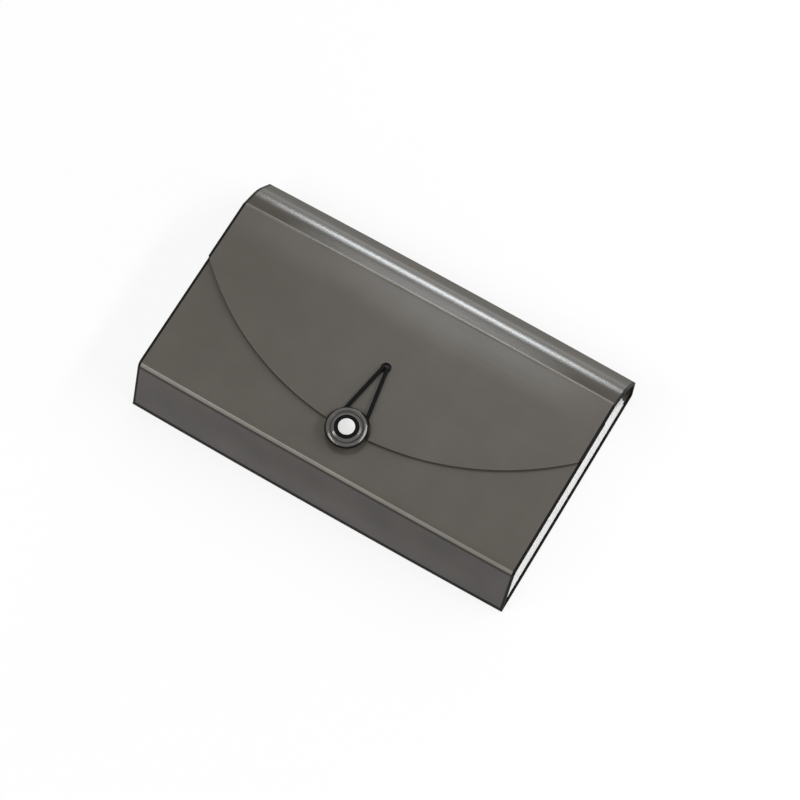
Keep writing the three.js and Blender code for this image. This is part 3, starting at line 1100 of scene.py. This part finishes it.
def cord_frames(path):
    """(place, across, up, distance travelled) at each point of a cord's path."""
    across = Vector((1, 0, 0))
    travelled = 0.0
    result = []
    for i, place in enumerate(path):
        before = path[max(0, i - 1)]
        after = path[min(len(path) - 1, i + 1)]
        run = (after - before).normalized()
        travelled += (place - before).length
        sideways = run.cross(Vector((0, 0, 1)))
        if i == 0 or sideways.length < NEARLY_UPRIGHT:
            sideways = Vector((1, 0, 0)) - run * run.x
        if sideways.dot(across) < 0:
            sideways.negate()
        across = sideways.normalized()
        result.append((place, across, across.cross(run), travelled))
    return result


def braided_tube(name, path, radius):
    """A round cord whose surface carries the crossed ridges of a braid."""
    points = []
    for place, across, up, travelled in cord_frames(path):
        shift = BRAID_RIDGES * (2 * math.pi * travelled / BRAID_PITCH)
        for k in range(CORD_SIDES):
            angle = 2 * math.pi * k / CORD_SIDES
            turn = BRAID_RIDGES * angle
            weave = abs(math.sin((turn + shift) / 2)) - abs(math.sin((turn - shift) / 2))
            reach = radius * (1 - BRAID_RELIEF + BRAID_RELIEF * weave)
            points.append(place + (across * math.cos(angle) + up * math.sin(angle)) * reach)
    faces = []
    for i in range(len(path) - 1):
        for k in range(CORD_SIDES):
            a = i * CORD_SIDES + k
            b = i * CORD_SIDES + (k + 1) % CORD_SIDES
            faces.append((a, b, b + CORD_SIDES, a + CORD_SIDES))
    faces.append(tuple(range(CORD_SIDES)))
    faces.append(tuple(range((len(path) - 1) * CORD_SIDES, len(path) * CORD_SIDES)))
    return mesh_object(name, points, faces)


def make_loop():
    path = evenly(loop_route(), CORD_STEP)
    loop = braided_tube("elastic_closure_loop", path, CORD_RADIUS)
    dress(loop, ELASTIC, "elastic", "loop", "elastic_loop")


def make_end_plate():
    """The plate under the flap that holds the loop's ends and covers their hole from below."""
    low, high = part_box("loop_anchor_bar")
    end = LOOP_HOLE_RADIUS + PLATE_LAP
    outline = []
    for sign in (1, -1):
        for k in range(PLATE_STEPS + 1):
            angle = -math.pi / 2 + math.pi * k / PLATE_STEPS
            x = sign * (high.x - end + end * math.cos(angle))
            outline.append((x, LOOP_HOLE.y + sign * end * math.sin(angle)))
    plate = sheet_from_outline("loop_end_bar", outline, low.z, high.z, PLATE_RIM)
    dress(plate, STEEL, "anchor", "flap_cover", "loop_anchor_bar")


# Stage
def make_camera():
    data = bpy.data.cameras.new("photo_camera")
    data.sensor_width = 36
    data.lens = data.sensor_width * FOCAL_PIXELS / FRAME_PIXELS
    data.clip_end = 20
    level_part = math.cos(ELEVATION)
    x = math.sin(AZIMUTH) * level_part
    y = -math.cos(AZIMUTH) * level_part
    back = Vector((x, y, math.sin(ELEVATION)))
    camera = add_object("photo_camera", data)
    camera.location = CAMERA_AIM + back * CAMERA_DISTANCE
    camera.rotation_mode = "QUATERNION"
    camera.rotation_quaternion = (-back).to_track_quat("-Z", "Y")
    scene.camera = camera


def larger(tree, first, second):
    node = tree.nodes.new("ShaderNodeMath")
    node.operation = "MAXIMUM"
    tree.links.new(first, node.inputs[0])
    tree.links.new(second, node.inputs[1])
    return node.outputs[0]


def seen_directly(tree):
    """1 for rays that show the background: straight, mirrored or passed through."""
    rays = tree.nodes.new("ShaderNodeLightPath").outputs
    straight_or_mirrored = larger(tree, rays["Is Camera Ray"], rays["Is Glossy Ray"])
    return larger(tree, straight_or_mirrored, rays["Is Transmission Ray"])


def mix_shaders(tree, share, first, second, output_kind):
    """Shows the first shader, and the second by its share, as what the tree gives out."""
    mix = tree.nodes.new("ShaderNodeMixShader")
    tree.links.new(share, mix.inputs["Fac"])
    tree.links.new(first.outputs[0], mix.inputs[1])
    tree.links.new(second.outputs[0], mix.inputs[2])
    output = tree.nodes.new(output_kind)
    tree.links.new(mix.outputs[0], output.inputs["Surface"])


def floor_material():
    material = bpy.data.materials.new("pale_floor")
    material.use_nodes = True
    tree = material.node_tree
    tree.nodes.clear()
    matt = tree.nodes.new("ShaderNodeBsdfDiffuse")
    matt.inputs["Color"].default_value = FLOOR_COLOUR
    glow = tree.nodes.new("ShaderNodeEmission")
    glow.inputs["Strength"].default_value = FLOOR_GLOW
    share = tree.nodes.new("ShaderNodeMath")
    share.operation = "MULTIPLY"
    share.inputs[1].default_value = GLOW_SHARE
    tree.links.new(seen_directly(tree), share.inputs[0])
    mix_shaders(tree, share.outputs[0], matt, glow, "ShaderNodeOutputMaterial")
    return material


def make_floor():
    bm = bmesh.new()
    bmesh.ops.create_grid(bm, x_segments=4, y_segments=4, size=FLOOR_HALF)
    mesh = bpy.data.meshes.new("floor")
    bm.to_mesh(mesh)
    bm.free()
    mesh.materials.append(floor_material())
    floor = add_object("floor", mesh)
    floor.location.z = -FLOOR_DROP


def make_world():
    world = bpy.data.worlds.new("studio")
    scene.world = world
    world.use_nodes = True
    tree = world.node_tree
    tree.nodes.clear()
    ambient = tree.nodes.new("ShaderNodeBackground")
    shown = tree.nodes.new("ShaderNodeBackground")
    for node, strength in ((ambient, AMBIENT), (shown, 1)):
        node.inputs["Color"].default_value = (*WHITE, 1)
        node.inputs["Strength"].default_value = strength
    mix_shaders(tree, seen_directly(tree), ambient, shown, "ShaderNodeOutputWorld")


def softbox(name, place, width, height, power, colour=WHITE, roll=0.0):
    """A rectangular lamp that faces the bag, rolled about its own axis."""
    data = bpy.data.lights.new(name, "AREA")
    data.shape = "RECTANGLE"
    data.size = width
    data.size_y = height
    data.energy = power
    data.color = colour
    lamp = add_object(name, data)
    lamp.location = place
    lamp.rotation_mode = "QUATERNION"
    facing = (LAMP_AIM - Vector(place)).to_track_quat("-Z", "Y")
    lamp.rotation_quaternion = facing @ Quaternion((0, 0, 1), roll)


def make_lights():
    long_roll = math.radians(-21)
    softbox("key_right", (1.325, 0.792, 1.414), width=2.1, height=0.26, power=15.2, roll=long_roll)
    softbox("sheen_overhead", (-0.148, 0.446, 1.157), width=0.25, height=0.18, power=0.25, colour=COOL)
    softbox("fill_front", (-0.634, -0.84, 1.06), width=1.1, height=0.12, power=4.5)
    softbox("edge_right", (1.25, 0.2, 0.35), width=0.35, height=0.25, power=2)
    softbox("rim_rear", (-0.2, 1.25, 0.105), width=0.38, height=0.2, power=4.5, colour=COOL)


scene.view_settings.view_transform = "Standard"
make_camera()
make_loop()
make_end_plate()
make_back_and_bottom()
make_front_panel()
make_spine_strips()
make_spine_creases()
make_flap()
for number in range(1, DIVIDERS + 1):
    make_divider(number)
for number in range(1, POCKETS + 1):
    make_pleats(number)
make_disc()
make_ring("button_standoff", "button_collar", COLLAR_EDGE)
make_ring("button_back_washer", "button_washer", WASHER_EDGE)
make_rivet()
make_floor()
make_world()
make_lights()
